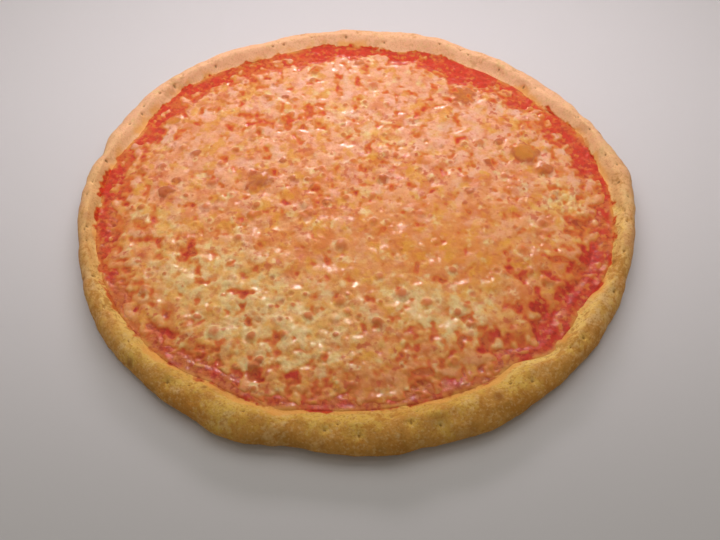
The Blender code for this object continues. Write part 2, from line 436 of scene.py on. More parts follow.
def paint(obj, **fields):
    """Keep a value for each point; points past the field's end take its last value."""
    for name, given in fields.items():
        flat = np.asarray(given, np.float32).reshape(-1)
        values = np.full(len(obj.data.vertices), flat[-1], np.float32)
        values[: flat.size] = flat
        layer = obj.data.attributes.new(name, "FLOAT", "POINT")
        layer.data.foreach_set("value", values)


# Shader building blocks
def new_material(name):
    material = bpy.data.materials.new(name)
    material.use_nodes = True
    return material, material.node_tree, material.node_tree.nodes["Principled BSDF"]


def feed(tree, socket, value):
    """Set a socket to a number, a colour, or another node's output."""
    if isinstance(value, bpy.types.NodeSocket):
        tree.links.new(value, socket)
    elif isinstance(value, tuple) and len(value) == 3:
        socket.default_value = (*value, 1)
    else:
        socket.default_value = value


def field(tree, name):
    node = tree.nodes.new("ShaderNodeAttribute")
    node.attribute_name = name
    return node.outputs["Fac"]


def speckle(tree, size, detail=2.0, seed=0.0):
    """Noise between 0 and 1 with patches of about this size in metres."""
    place = tree.nodes.new("ShaderNodeTexCoord")
    node = tree.nodes.new("ShaderNodeTexNoise")
    node.noise_dimensions = "4D"
    node.inputs["Scale"].default_value = 1 / size
    node.inputs["Detail"].default_value = detail
    node.inputs["W"].default_value = seed
    tree.links.new(place.outputs["Object"], node.inputs["Vector"])
    return node.outputs["Fac"]


def wander(tree, size, seed, amount, detail=3):
    """Noise about 0, with patches of about this size in metres."""
    return calc(tree, "MULTIPLY", calc(tree, "SUBTRACT", speckle(tree, size, detail, seed), 0.5), amount)


def between(tree, value, low, high, start=0.0, end=1.0):
    """Map a value smoothly from low..high to start..end."""
    node = tree.nodes.new("ShaderNodeMapRange")
    node.interpolation_type = "SMOOTHSTEP"
    for name, number in (
        ("Value", value),
        ("From Min", low),
        ("From Max", high),
        ("To Min", start),
        ("To Max", end),
    ):
        feed(tree, node.inputs[name], number)
    return node.outputs["Result"]


def calc(tree, operation, first, second):
    node = tree.nodes.new("ShaderNodeMath")
    node.operation = operation
    feed(tree, node.inputs[0], first)
    feed(tree, node.inputs[1], second)
    return node.outputs["Value"]


def blended(tree, factor, first, second):
    node = tree.nodes.new("ShaderNodeMix")
    node.data_type = "RGBA"
    feed(tree, node.inputs["Factor"], factor)
    feed(tree, node.inputs["A"], first)
    feed(tree, node.inputs["B"], second)
    return node.outputs["Result"]


def roughened(tree, shader, height, depth, layer="Normal"):
    """Fine bumps on the surface or on its coat, with their height in metres."""
    bump = tree.nodes.new("ShaderNodeBump")
    bump.inputs["Distance"].default_value = depth
    bump.inputs["Strength"].default_value = 1.0
    tree.links.new(height, bump.inputs["Height"])
    tree.links.new(bump.outputs["Normal"], shader.inputs[layer])


def sauce_colour(tree):
    """Mottled tomato red, redder where it is ripe, lighter towards the far side as painted light, with a
    share of orange oil.
    """
    ripe = calc(tree, "MULTIPLY", field(tree, "ripe"), 0.32)
    ripe = calc(tree, "ADD", ripe, wander(tree, 0.010, 1.0, 3.0))
    colour = blended(tree, between(tree, ripe, -0.6, 0.1), SAUCE_BROWN, SAUCE_ORANGE)
    colour = blended(tree, between(tree, ripe, -0.3, 0.25), colour, SAUCE_RED)
    grain = between(tree, speckle(tree, 0.0022, 3, 4.0), 0.46, 0.64, 0.0, 0.7)
    colour = blended(tree, grain, colour, SAUCE_DARK)
    # Painted light: the sauce is lighter red towards the far side
    far_lit_sauce = between(tree, field(tree, "far"), 0.4, 1.0, 0.0, 0.30)
    colour = blended(tree, far_lit_sauce, colour, SAUCE_FAR_LIT)
    oily = between(tree, speckle(tree, 0.0034, 3, 6.0), 0.52, 0.68, 0.0, 0.75)
    return blended(tree, oily, colour, OILY_ORANGE)


def bare_patches(tree):
    """Patches along the sauce's edge where it thins to nothing over the dough."""
    patches = between(tree, speckle(tree, 0.011, 3, 41.0), 0.46, 0.58, 0.0, 0.8)
    return calc(tree, "MULTIPLY", patches, between(tree, field(tree, "ripe"), 0.3, 0.8, 1.0, 0.0))


# Crust
def crust_rings():
    """The crust's section from the top middle round to the bottom middle.

    Gives radius, height and how far across the rim each ring lies.
    """
    flat_end = SAUCE_RADIUS - BED_DISTANCES[-1]
    radii = [*np.linspace(INNERMOST, flat_end - 0.002, 8), *np.linspace(flat_end, SAUCE_RADIUS, 12)]
    heights = [float(bed_height(SAUCE_RADIUS - radius)) for radius in radii]
    across = [0.0] * len(radii)
    crest = SAUCE_RADIUS + CREST * (CRUST_RADIUS - SAUCE_RADIUS)
    for share in np.linspace(0, 1, 17)[1:]:
        wave = 0.5 - 0.5 * math.cos(math.pi * (SLOPE_START + (1 - SLOPE_START) * share))
        rise = (wave - SLOPE_FOOT) / (1 - SLOPE_FOOT)
        radii.append(SAUCE_RADIUS + share * (crest - SAUCE_RADIUS))
        heights.append(BED_HEIGHTS[0] + (RIM_HEIGHT - BED_HEIGHTS[0]) * rise)
        across.append(CREST * share)
    for turn in np.radians(np.linspace(0, 90, 19)[1:]):
        radii.append(crest + (CRUST_RADIUS - crest) * math.sin(turn))
        heights.append(RIM_WIDEST + (RIM_HEIGHT - RIM_WIDEST) * math.cos(turn))
        across.append(CREST + (1 - CREST) * turn / (math.pi / 2))
    for turn in np.radians(np.linspace(0, 90, 12)[1:]):
        radii.append(CRUST_RADIUS - UNDERSIDE_ROUND * (1 - math.cos(turn)))
        heights.append(RIM_WIDEST * (1 - math.sin(turn)))
        across.append(1 + 0.3 * turn / (math.pi / 2))
    for radius in np.linspace(CRUST_RADIUS - UNDERSIDE_ROUND, INNERMOST, 9)[1:]:
        radii.append(radius)
        heights.append(0.0)
        across.append(1.6)
    return np.array(radii), np.array(heights), np.array(across)


def pinholes():
    """Where the pinholes are: rows of (x, y, radius)."""
    draw = random.Random(11)
    found = []
    for share, first in PINHOLE_ROWS:
        for index in range(int(360 / PINHOLE_SPACING)):
            direction = first + index * PINHOLE_SPACING + draw.uniform(-3, 3)
            across = share + draw.uniform(-0.12, 0.12)
            size = PINHOLE_RADIUS * draw.uniform(0.85, 1.2)
            if draw.random() > PINHOLES_KEPT:
                continue
            angle = np.array(math.radians(direction))
            radius = sauce_edge(angle) + across * (crust_edge(angle) - sauce_edge(angle))
            found.append((radius * math.cos(angle), radius * math.sin(angle), size))
    return found


def crust_surface():
    """Rings of points on the crust, with the dents and swellings of the solid."""
    radii, heights, across = crust_rings()
    angle = np.linspace(0, 2 * math.pi, CRUST_STEPS, endpoint=False)[None, :]
    radius, height, across = radii[:, None], heights[:, None], across[:, None]
    inner, outer = sauce_edge(angle), crust_edge(angle)
    share = (radius - SAUCE_RADIUS) / (CRUST_RADIUS - SAUCE_RADIUS)
    bed = radius + (inner - SAUCE_RADIUS) * np.minimum(1, radius / FADE_RADIUS)
    radius = np.where(share <= 0, bed, inner + share * (outer - inner))
    rise = 1 + 0.30 * noise_at(2.4 * np.cos(angle), 2.4 * np.sin(angle), 7.0, 1.0)
    lifted = BED_HEIGHTS[0] + (height - BED_HEIGHTS[0]) * rise
    height = np.where((height > BED_HEIGHTS[0]) & (share > 0), lifted, height)
    x, y = radius * np.cos(angle), radius * np.sin(angle)
    dent = 0.0012 * noise_at(x, y, height, 0.018)
    dent += 0.0004 * noise_at(x + 0.045, y + 0.045, height + 0.045, 0.009)
    dent *= (share > 0) & (height > 0.001)
    tilt = math.pi * (share - 0.5)
    radius = radius + dent * np.sin(tilt)
    height = height + dent * np.cos(tilt)
    return radius * np.cos(angle), radius * np.sin(angle), height, np.broadcast_to(across, height.shape)


def outward(x, y, z):
    """Unit vectors square to a surface of rings, pointing out of it."""
    points = np.stack([x, y, z], -1)
    along = np.roll(points, -1, 1) - np.roll(points, 1, 1)
    down = np.gradient(points, axis=0)
    normal = np.cross(down, along)
    return normal / np.maximum(np.linalg.norm(normal, axis=-1, keepdims=True), 1e-12)


def make_crust():
    x, y, z, across = crust_surface()
    normal = outward(x, y, z)
    radius, angle = np.hypot(x, y), np.arctan2(y, x)
    inward = sauce_edge(angle) - radius

    # Pillows between the pinholes, the pinholes' pits and the dough's relief
    rim = smooth(-inward, -0.001, 0.003) * smooth(z, 0.0005, 0.003)
    above = smooth(z, RIM_WIDEST, RIM_WIDEST + 0.002)
    swell, pit, hollow = (np.zeros_like(z) for _ in range(3))
    for hole_x, hole_y, size in pinholes():
        away = np.hypot(x - hole_x, y - hole_y)
        dimple = np.exp(-((away / DIMPLE_RADIUS) ** 2)) * above
        # The dimples' share, which is painted cream as a highlight
        hollow = np.maximum(hollow, dimple)
        swell -= DIMPLE_DEPTH * dimple
        narrow = np.exp(-((away / (1.1 * size)) ** 2)) * above
        swell -= PIT_DEPTH * narrow
        # The pits' share, which is painted dark as shade
        pit = np.maximum(pit, narrow)
    for height, size, seed in DOUGH_RELIEF:
        swell += height * noise_at(x, y, z, size, seed)
    x, y, z = (part + normal[..., i] * swell * rim for i, part in enumerate((x, y, z)))

    crust = lofted("baked_crust", x, y, z)

    # Where the sauce ends on the slope, and what else the material needs to know
    ragged = 0.0022 * noise_at(np.cos(angle), np.sin(angle), 0.0, 0.080, 4.0)
    ragged += 0.0012 * noise_at(x, y, 0.0, 0.0050, 8.0)
    ragged += 0.0007 * noise_at(x, y, 0.0, 0.0022, 3.0) + 0.0006
    stain = 1 - smooth(-inward, ragged - 0.0006, ragged + 0.0010)
    roast = places(x, y, polar_places(ROAST_PLACES)) * smooth(z, 0.0055, 0.0085)
    seep = 1 - smooth(-inward, 0.0, 0.0055 + 0.004 * noise_at(x, y, 0.0, 0.016, 9.0))
    fringe = seep * edge_shift(angle, (), SEEP_ARCS)
    slope = (1 - smooth(-inward, 0.0025, 0.0080)) * edge_shift(angle, (), PALE_ARCS)
    paint(
        crust,
        across=across,
        pit=pit,
        stain=stain,
        seep=seep,
        fringe=fringe,
        slope=slope,
        hollow=hollow,
        roast=roast,
        far=far_lit_share(y),
        ripe=edge_shift(angle, (), RED_ARCS),
    )
    return crust


def far_lit_dough(tree):
    """How much painted light pales the dough towards the far side, less so on the rim's outer face."""
    inner_face = between(tree, field(tree, "across"), 0.65, 1.15, 1.0, 0.15)
    return calc(tree, "MULTIPLY", field(tree, "far"), inner_face)


def dough_colour(tree):
    """Cream on the inner slope, browner outwards, with a painted highlight of cream in the dimples and
    painted light paling the far side.
    """
    far = far_lit_dough(tree)
    across = calc(tree, "ADD", field(tree, "across"), wander(tree, 0.015, 1.0, 3.4))
    across = calc(tree, "ADD", across, wander(tree, 0.0050, 2.0, 1.8))
    # Painted light: the far side shifts towards the cream end
    across = calc(tree, "SUBTRACT", across, calc(tree, "MULTIPLY", far, 0.30))
    colour = blended(tree, between(tree, across, 0.00, 0.40), DOUGH_CREAM, DOUGH_GOLD)
    colour = blended(tree, between(tree, across, 0.35, 0.80), colour, DOUGH_TAN)
    colour = blended(tree, between(tree, across, 0.90, 1.50, 0.0, 0.75), colour, DOUGH_BROWN)
    # Painted highlight: cream in the dimples round the pinholes
    hollow = calc(tree, "ADD", field(tree, "hollow"), wander(tree, 0.004, 3.0, 0.6))
    colour = blended(tree, between(tree, hollow, 0.35, 1.0, 0.0, 0.8), colour, DOUGH_CREAM)
    # Painted light: paler dough towards the far side
    colour = blended(tree, calc(tree, "MULTIPLY", far, 0.85), colour, DOUGH_FAR_LIT)
    slope = calc(tree, "ADD", field(tree, "slope"), wander(tree, 0.0060, 53.0, 1.8))
    return blended(tree, between(tree, slope, 0.2, 0.9, 0.0, 0.85), colour, SLOPE_CREAM)


def baked_marks(tree, colour):
    """Toasted and floury patches, fine specks of both, and roasted spots."""
    toasty = calc(tree, "ADD", speckle(tree, 0.019, 4, 45.0), wander(tree, 0.0032, 46.0, 0.7))
    toasty = calc(tree, "ADD", toasty, calc(tree, "MULTIPLY", field(tree, "across"), 0.05))
    toasty = between(tree, toasty, 0.56, 0.70, 0.0, 0.75)
    # Toasted patches fade towards the far side, under the painted light there
    toasty = calc(tree, "MULTIPLY", toasty, between(tree, field(tree, "far"), 0.3, 0.9, 1.0, 0.45))
    colour = blended(tree, toasty, colour, DOUGH_TOASTED)
    floury = calc(tree, "ADD", speckle(tree, 0.013, 4, 47.0), wander(tree, 0.0030, 48.0, 0.5))
    floury = between(tree, floury, 0.56, 0.70, 0.0, 0.6)
    floury = calc(tree, "MULTIPLY", floury, between(tree, field(tree, "across"), 0.5, 1.1, 1.0, 0.2))
    colour = blended(tree, floury, colour, DOUGH_FLOUR)
    outer = between(tree, field(tree, "across"), 0.80, 1.40, 0.0, 0.40)
    outer = calc(tree, "MULTIPLY", outer, between(tree, field(tree, "far"), 0.5, 1.0))
    colour = blended(tree, outer, colour, DOUGH_TOASTED)
    fine = between(tree, speckle(tree, 0.0012, 3, 4.0), 0.48, 0.68, 0.0, 0.7)
    # Fine specks fade under the painted light at the far side
    fine = calc(tree, "MULTIPLY", fine, between(tree, far_lit_dough(tree), 0.0, 1.0, 1.0, 0.35))
    colour = blended(tree, fine, colour, DOUGH_TOASTED)
    dust = between(tree, speckle(tree, 0.0014, 3, 6.0), 0.50, 0.68, 0.0, 0.40)
    colour = blended(tree, dust, colour, DOUGH_FLOUR)
    roast = calc(tree, "ADD", field(tree, "roast"), wander(tree, 0.0022, 7.0, 0.5))
    return blended(tree, between(tree, roast, 0.25, 0.95, 0.0, 0.8), colour, ROASTED)


def sauce_marks(tree, colour):
    """Oil seeped into the slope, painted shade in the pinholes, and sauce on the slope: colour and
    wetness.
    """
    patchy = between(tree, speckle(tree, 0.022, 3, 43.0), 0.42, 0.62)
    seep = calc(tree, "MULTIPLY", field(tree, "seep"), patchy)
    seep = calc(tree, "ADD", seep, calc(tree, "MULTIPLY", field(tree, "fringe"), 0.7))
    seep = calc(tree, "ADD", seep, wander(tree, 0.003, 44.0, 0.8))
    colour = blended(tree, between(tree, seep, 0.1, 0.8, 0.0, 0.75), colour, SEEPED)
    # Painted shade: the pinholes are darkened
    pit = between(tree, field(tree, "pit"), 0.30, 0.80, 0.0, 0.7)
    colour = blended(tree, pit, colour, PINHOLE_SHADE)
    stain = calc(tree, "SUBTRACT", field(tree, "stain"), bare_patches(tree))
    stain = calc(tree, "ADD", stain, wander(tree, 0.0020, 8.0, 0.5))
    colour = blended(tree, between(tree, stain, 0.10, 0.60, 0.0, 0.9), colour, SAUCE_STAIN)
    wet = between(tree, stain, 0.45, 0.85)
    return blended(tree, wet, colour, sauce_colour(tree)), wet


def crust_material():
    material, tree, shader = new_material("baked_dough")
    colour, wet = sauce_marks(tree, baked_marks(tree, dough_colour(tree)))
    feed(tree, shader.inputs["Base Color"], colour)
    dry = between(tree, speckle(tree, 0.004, 2, 9.0), 0.3, 0.7, 0.6, 0.85)
    dry = calc(tree, "SUBTRACT", dry, calc(tree, "MULTIPLY", wet, 0.35))
    feed(tree, shader.inputs["Roughness"], dry)
    shader.inputs["Specular IOR Level"].default_value = 0.2
    roughened(tree, shader, speckle(tree, 0.0011, 4, 10.0), 0.0004)
    return material


# Sauce
def make_sauce():
    outermost = SAUCE_RADIUS - SAUCE_DISTANCES[0]
    shown = outermost - SAUCE_SHOWN
    upper = [*np.linspace(INNERMOST, shown - 0.002, 5), *np.linspace(shown, outermost, 42)]
    under = np.linspace(outermost - 0.0025, INNERMOST, 12)
    radius = np.array([*upper, *under])[:, None]
    on_top = np.array([True] * len(upper) + [False] * len(under))[:, None]
    angle = np.linspace(0, 2 * math.pi, SAUCE_STEPS, endpoint=False)[None, :]
    inner = sauce_edge(angle)
    radius = radius + (inner - SAUCE_RADIUS) * np.minimum(1, radius / FADE_RADIUS)
    inward = inner - radius
    x, y = radius * np.cos(angle), radius * np.sin(angle)
    lumps = 0.00055 * np.abs(noise_at(x, y, 0.0, 0.0048, 1.0))
    lumps += 0.00022 * noise_at(x, y, 0.0, 0.0021, 6.0)
    ragged = 0.0009 * noise_at(x, y, 0.0, 0.0075, 4.0)
    ragged = ragged * smooth(inward, -0.0014, 0.0004) * (1 - smooth(inward, 0.001, 0.006))
    top = sauce_top(inward) + smooth(inward, -0.0012, 0.001) * (lumps - 0.0001) + ragged
    bottom = bed_height(inward) - SAUCE_SUNK + (GAP + SAUCE_SUNK) * smooth(inward, 0.002, 0.004)
    sauce = lofted("baked_sauce", x, y, np.where(on_top, top, bottom))
    ripe = np.broadcast_to(edge_shift(angle, (), RED_ARCS), x.shape)
    paint(sauce, inward=inward, ripe=ripe, far=far_lit_share(y))
    return sauce


def sauce_material():
    material, tree, shader = new_material("tomato_sauce")
    uneven = calc(tree, "MULTIPLY", speckle(tree, 0.003, 3, 40.0), 0.003)
    inward = calc(tree, "ADD", field(tree, "inward"), uneven)
    rim = between(tree, inward, 0.0008, 0.0050, 1.0, 0.0)
    rim = calc(tree, "MULTIPLY", rim, bare_patches(tree))
    colour = blended(tree, rim, sauce_colour(tree), SAUCE_RIM)
    feed(tree, shader.inputs["Base Color"], colour)
    gloss = between(tree, speckle(tree, 0.002, 2, 7.0), 0.35, 0.65, 0.3, 0.5)
    feed(tree, shader.inputs["Roughness"], gloss)
    shader.inputs["Specular IOR Level"].default_value = 0.25
    shader.inputs["Coat Weight"].default_value = 0.8
    shader.inputs["Coat Roughness"].default_value = 0.16
    roughened(tree, shader, speckle(tree, 0.0036, 3, 9.0), 0.0007)
    roughened(tree, shader, speckle(tree, 0.0020, 2, 24.0), 0.0004, "Coat Normal")
    return material


# Cheese
def cheese_grid():
    """A square grid rounded into a disc: share of the way out and direction."""
    line = np.linspace(-1, 1, CHEESE_GRID + 1)
    across, along = np.meshgrid(line, line)
    x = across * np.sqrt(1 - along * along / 2)
    y = along * np.sqrt(1 - across * across / 2)
    share = np.minimum(1, np.hypot(x, y))
    return share, np.arctan2(y, x) + math.radians(CHEESE_GRID_TURN)


def cheese_bubbles(x, y):
    """Domes and burst bubbles: height, browning, sauce seen in them, and pale rings."""
    height, toast, red, rings = (np.zeros_like(x) for _ in range(4))
    draw = random.Random(5)
    kinds = [DOME_RADII] * DOMES + [CRATER_RADII] * CRATERS + [LARGE_DOME_RADII] * LARGE_DOMES
    for low, high in kinds:
        angle = draw.uniform(0, 2 * math.pi)
        radius = (CHEESE_RADIUS - 0.003) * math.sqrt(draw.random())
        centre_x, centre_y = radius * math.cos(angle), radius * math.sin(angle)
        strength = draw.random()
        crowded = 1 - float(places(np.array(centre_x), np.array(centre_y), CALM_PLACES))
        if draw.random() > crowded + 0.12:
            continue
        if (low, high) == LARGE_DOME_RADII:
            strength = 0.5 + 0.5 * strength
        size = low + (high - low) * draw.random() ** 2
        near = (np.abs(x - centre_x) < 2 * size) & (np.abs(y - centre_y) < 2 * size)
        if not near.any():
            continue
        away = np.hypot(x[near] - centre_x, y[near] - centre_y) / size
        inside = np.clip(1 - away * away, 0, 1)
        ring = np.exp(-(((away - 1.15) / 0.3) ** 2))
        peak = (0.12 + 0.10 * strength) * size
        colouring = inside**0.8 * (0.4 + 0.6 * strength)
        if (low, high) == CRATER_RADII:
            height[near] += peak * (0.8 * ring - 1.2 * inside)
            red[near] += colouring
            toast[near] += inside * 0.3
            rings[near] += ring * 0.5
        else:
            height[near] += peak * (1.6 * inside - 0.5 * ring)
            toast[near] += colouring * (strength > 0.4)
            rings[near] += ring * (strength > 0.4) * 0.8
    return height, np.clip(toast, 0, 1), np.clip(red, 0, 1), np.clip(rings, 0, 1)


def cheese_blisters(x, y):
    """Large blisters: height, browning, and the golden middles of the slack ones."""
    lift, brown_share, golden_share = (np.zeros_like(x) for _ in range(3))
    uneven = noise_at(x, y, 0.0, 0.005, 11.0)
    for centre_x, centre_y, size, peak, brown, golden in BLISTERS:
        away = np.hypot(x - centre_x, y - centre_y) / (size * (1 + (0.7 - 0.4 * golden) * uneven))
        part = np.clip(1 - away**2, 0, 1)
        slack = np.clip(1.05 * (1 - away), 0, 0.8)
        lift += peak * ((1 - golden) * part**0.75 + golden * slack)
        lift -= 0.25 * peak * np.exp(-(((away - 1.1) / 0.25) ** 2))
        brown_share = np.maximum(brown_share, smooth(part, -0.1, 0.7) * brown)
        golden_share = np.maximum(golden_share, smooth(part, 0.20, 0.85) * golden)
    return lift, brown_share, golden_share


def cheese_cover(x, y, inward, ripe, mottle):
    """How well the cheese covers the sauce, from 0 to 1."""
    wide = noise_at(x, y, 0.0, 0.012, 14.0) / NOISE_REACH
    outer = 1 - smooth(inward, 0.004, 0.012)
    cover = 1.2 * mottle / NOISE_REACH + (0.5 + 0.7 * outer) * wide - outer * ripe
    cover += np.interp(inward, COVER_DISTANCES, COVER_LEVELS)
    cover -= 1.8 * places(x, y, RED_PLACES)
    return smooth(cover, -2.0, 2.0)


def make_cheese():
    share, angle = cheese_grid()
    edge = cheese_edge(angle)
    radius = share * CHEESE_RADIUS
    radius += (edge + FRINGE - CHEESE_RADIUS) * share**2
    ragged = noise_at(26 * np.cos(angle), 26 * np.sin(angle), 5.0, 1.0)
    radius += 0.0010 * ragged * share**12
    x, y = radius * np.cos(angle), radius * np.sin(angle)
    bed = sauce_top(sauce_edge(angle) - radius)
    inward = edge - radius

    # Mottling of two sizes, which both covers the sauce unevenly and makes curds
    medium = noise_at(x, y, 0.0, 0.0062, 2.0)
    small = noise_at(x, y, 0.0, 0.0027, 7.0)
    ripe = edge_shift(angle, (), RED_ARCS)
    cover = cheese_cover(x, y, inward, ripe, medium + 0.5 * small)

    # Broad lumps as in the solid, curds, bubbles and blisters
    broad = noise_at(x, y, 3.0 * LUMP_SPACING, LUMP_SPACING)
    broad += 0.4 * noise_at(2.1 * x, 2.1 * y, 6.3 * LUMP_SPACING, LUMP_SPACING)
    lively = np.clip(1 - places(x, y, CALM_PLACES), 0.15, 1)
    thickness = CHEESE_THICKNESS * (0.85 + LUMP_SHARE * (0.5 + 0.5 * lively) * broad)
    cream = places(x, y, CREAM_PLACES)
    bubbles, toast, craters, pale_rings = cheese_bubbles(x, y)
    lift, blister, yolk = cheese_blisters(x, y)
    curds = (0.3 + 0.3 * lively + 0.9 * np.minimum(cream, 1)) * (0.0005 * medium + 0.0003 * small)
    curds = curds * (1 - 0.4 * smooth(y, 0.02, 0.11)) * (1 - 0.8 * yolk)
    bubbles = bubbles * (1 - yolk)
    inside = smooth(inward, 0.001, 0.014)
    low = -0.0004 + (0.80 * thickness + 0.0004 + 0.4 * curds) * inside
    high = 0.0007 + (thickness - 0.0007) * inside + curds
    height = low + cover * (high - low) + bubbles * cover + lift
    sunk = smooth(share, 0.984, 1.0)
    height = height * (1 - sunk) - 0.0009 * sunk

    border = grid_border()
    top = np.stack([x, y, bed + height], -1).reshape(-1, 3)
    under = cheese_underside(radius.reshape(-1)[border], angle.reshape(-1)[border])
    cheese = made_object("melted_cheese", np.concatenate([top, *under]), cheese_faces(border))
    paint(
        cheese,
        cover=cover,
        lump=cover * (0.75 + (curds + bubbles) / 0.0012 + 0.5 * broad),
        cream=cream,
        oil=places(x, y, OIL_PLACES),
        toast=toast,
        crater=craters,
        pale=pale_rings,
        blister=blister,
        yolk=yolk,
        ripe=ripe,
        lively=lively,
        far=far_lit_share(y),
    )
    return cheese


def cheese_underside(radius, angle):
    """Rings of points under the cheese, from below its edge inwards."""
    rings = []
    for inset, rise in CHEESE_UNDERSIDE:
        inner = radius - inset
        height = sauce_top(sauce_edge(angle) - inner) + rise
        rings.append(np.stack([inner * np.cos(angle), inner * np.sin(angle), height], -1))
    return rings


def grid_index():
    """Each grid point's place in the flattened grid."""
    side = CHEESE_GRID + 1
    return np.arange(side * side).reshape(side, side)


def grid_border():
    """The grid's border points in order, as places in the flattened grid."""
    index = grid_index()
    return np.concatenate([index[0, :-1], index[:-1, -1], index[-1, :0:-1], index[:0:-1, 0]])


def cheese_faces(border):
    """The grid's faces, those of the rings below its border, and one that shuts the last."""
    index = grid_index()
    corners = (index[:-1, :-1], index[:-1, 1:], index[1:, 1:], index[1:, :-1])
    faces = np.stack(corners, -1).reshape(-1, 4).tolist()
    here = border
    count = len(border)
    for ring in range(len(CHEESE_UNDERSIDE)):
        below = index.size + ring * count + np.arange(count)
        faces += np.stack([np.roll(here, -1), here, below, np.roll(below, -1)], 1).tolist()
        here = below
    faces.append(here[::-1].tolist())
    return faces


def molten_colour(tree):
    """Peach and orange, paler and pinker towards the far side as painted light, with deep orange and
    yellow patches.
    """
    oil = calc(tree, "ADD", field(tree, "oil"), wander(tree, 0.018, 1.0, 3.0))
    colour = blended(tree, between(tree, oil, -0.1, 0.8), PEACH, ORANGE)
    # Painted light: paler, pinker peach towards the far side
    pinker = between(tree, field(tree, "far"), 0.2, 1.0, 0.0, 0.8)
    colour = blended(tree, pinker, colour, PEACH_FAR_LIT)
    middle = between(tree, speckle(tree, 0.0095, 3, 2.0), 0.46, 0.62, 0.0, 0.75)
    middle = calc(tree, "MULTIPLY", middle, between(tree, field(tree, "lively"), 0.0, 1.0, 0.4, 1.0))
    colour = blended(tree, middle, colour, DEEP_ORANGE)
    yellow = between(tree, speckle(tree, 0.0075, 3, 32.0), 0.52, 0.62, 0.0, 0.7)
    return blended(tree, yellow, colour, OILY_YELLOW)


def creamy_patches(tree, colour):
    """Golden, cream and milky patches where the cheese is thick, with honey ones between. The milky
    patches are partly a painted sheen, stronger towards the far side.
    """
    golden = calc(tree, "ADD", field(tree, "cream"), wander(tree, 0.0070, 51.0, 2.4))
    colour = blended(tree, between(tree, golden, 0.10, 0.80, 0.0, 0.8), colour, GOLDEN_CREAM)
    pale = calc(tree, "MULTIPLY", field(tree, "lump"), 0.40)
    pale = calc(tree, "ADD", pale, calc(tree, "MULTIPLY", field(tree, "cream"), 0.55))
    pale = calc(tree, "ADD", pale, calc(tree, "MULTIPLY", field(tree, "pale"), 0.45))
    pale = calc(tree, "ADD", pale, wander(tree, 0.0080, 8.0, 3.4))
    pale = calc(tree, "ADD", pale, wander(tree, 0.0030, 30.0, 1.0))
    colour = blended(tree, between(tree, pale, 0.45, 1.15, 0.0, 0.9), colour, CREAM)
    honey = between(tree, speckle(tree, 0.0060, 3, 54.0), 0.55, 0.65, 0.0, 0.5)
    colour = blended(tree, honey, colour, OILY_YELLOW)
    # Milky patches, partly a painted sheen that grows towards the far side
    milky = between(tree, speckle(tree, 0.0110, 4, 34.0), 0.50, 0.62)
    milky = calc(tree, "MULTIPLY", milky, between(tree, field(tree, "far"), 0.0, 1.0, 0.12, 0.50))
    return blended(tree, milky, colour, MILKY_AND_SHEEN)


def baked_spots(tree, colour):
    """Red flecks, toasted bubbles, red craters and a fine grain."""
    flecks = between(tree, speckle(tree, 0.0042, 3, 14.0), 0.54, 0.66, 0.0, 0.85)
    flecks = calc(tree, "MULTIPLY", flecks, field(tree, "lively"))
    flecks = calc(tree, "MULTIPLY", flecks, between(tree, field(tree, "cream"), 0.2, 0.9, 1.0, 0.45))
    colour = blended(tree, flecks, colour, RED_FLECK)
    toast = calc(tree, "ADD", field(tree, "toast"), wander(tree, 0.002, 9.0, 0.5))
    colour = blended(tree, between(tree, toast, 0.2, 0.8, 0.0, 0.85), colour, TOASTED)
    colour = blended(tree, calc(tree, "MULTIPLY", field(tree, "crater"), 0.75), colour, CRATER_RED)
    grain = between(tree, speckle(tree, 0.0011, 2, 36.0), 0.46, 0.66, 0.0, 0.2)
    return blended(tree, grain, colour, DEEP_ORANGE)


def blister_marks(tree, colour):
    """Browned blisters, and golden middles in the slack ones."""
    blister = calc(tree, "ADD", field(tree, "blister"), wander(tree, 0.0028, 12.0, 1.6))
    colour = blended(tree, between(tree, blister, 0.15, 1.05, 0.0, 0.85), colour, BLISTERED)
    yolk = calc(tree, "ADD", field(tree, "yolk"), wander(tree, 0.0034, 38.0, 1.8))
    return blended(tree, between(tree, yolk, 0.15, 1.0, 0.0, 0.85), colour, YOLK)


def thin_places(tree, colour):
    """Orange, then red, then bare sauce as the cheese thins out."""
    cover = calc(tree, "ADD", field(tree, "cover"), wander(tree, 0.0030, 17.0, 0.8, 2))
    cover = calc(tree, "ADD", cover, wander(tree, 0.0070, 18.0, 0.6, 2))
    colour = blended(tree, between(tree, cover, 0.50, 1.00, 1.0, 0.0), colour, THIN_CHEESE)
    colour = blended(tree, between(tree, cover, 0.28, 0.68, 1.0, 0.0), colour, RED_CHEESE)
    return blended(tree, between(tree, cover, 0.05, 0.45, 1.0, 0.0), colour, sauce_colour(tree))


def cheese_material():
    material, tree, shader = new_material("melted_cheese")
    colour = creamy_patches(tree, molten_colour(tree))
    colour = blister_marks(tree, baked_spots(tree, colour))
    colour = thin_places(tree, colour)
    feed(tree, shader.inputs["Base Color"], colour)
    gloss = between(tree, speckle(tree, 0.003, 2, 20.0), 0.35, 0.65, 0.35, 0.6)
    feed(tree, shader.inputs["Roughness"], gloss)
    shader.inputs["Specular IOR Level"].default_value = 0.4
    shader.inputs["Coat Weight"].default_value = 0.8
    shader.inputs["Coat Roughness"].default_value = 0.08
    shader.inputs["Subsurface Weight"].default_value = 0.4
    shader.inputs["Subsurface Radius"].default_value = (1.0, 0.35, 0.12)
    shader.inputs["Subsurface Scale"].default_value = 0.002
    roughened(tree, shader, speckle(tree, 0.0040, 3, 22.0), 0.0005)
    roughened(tree, shader, speckle(tree, 0.0016, 2, 24.0), 0.00014, "Coat Normal")
    return material


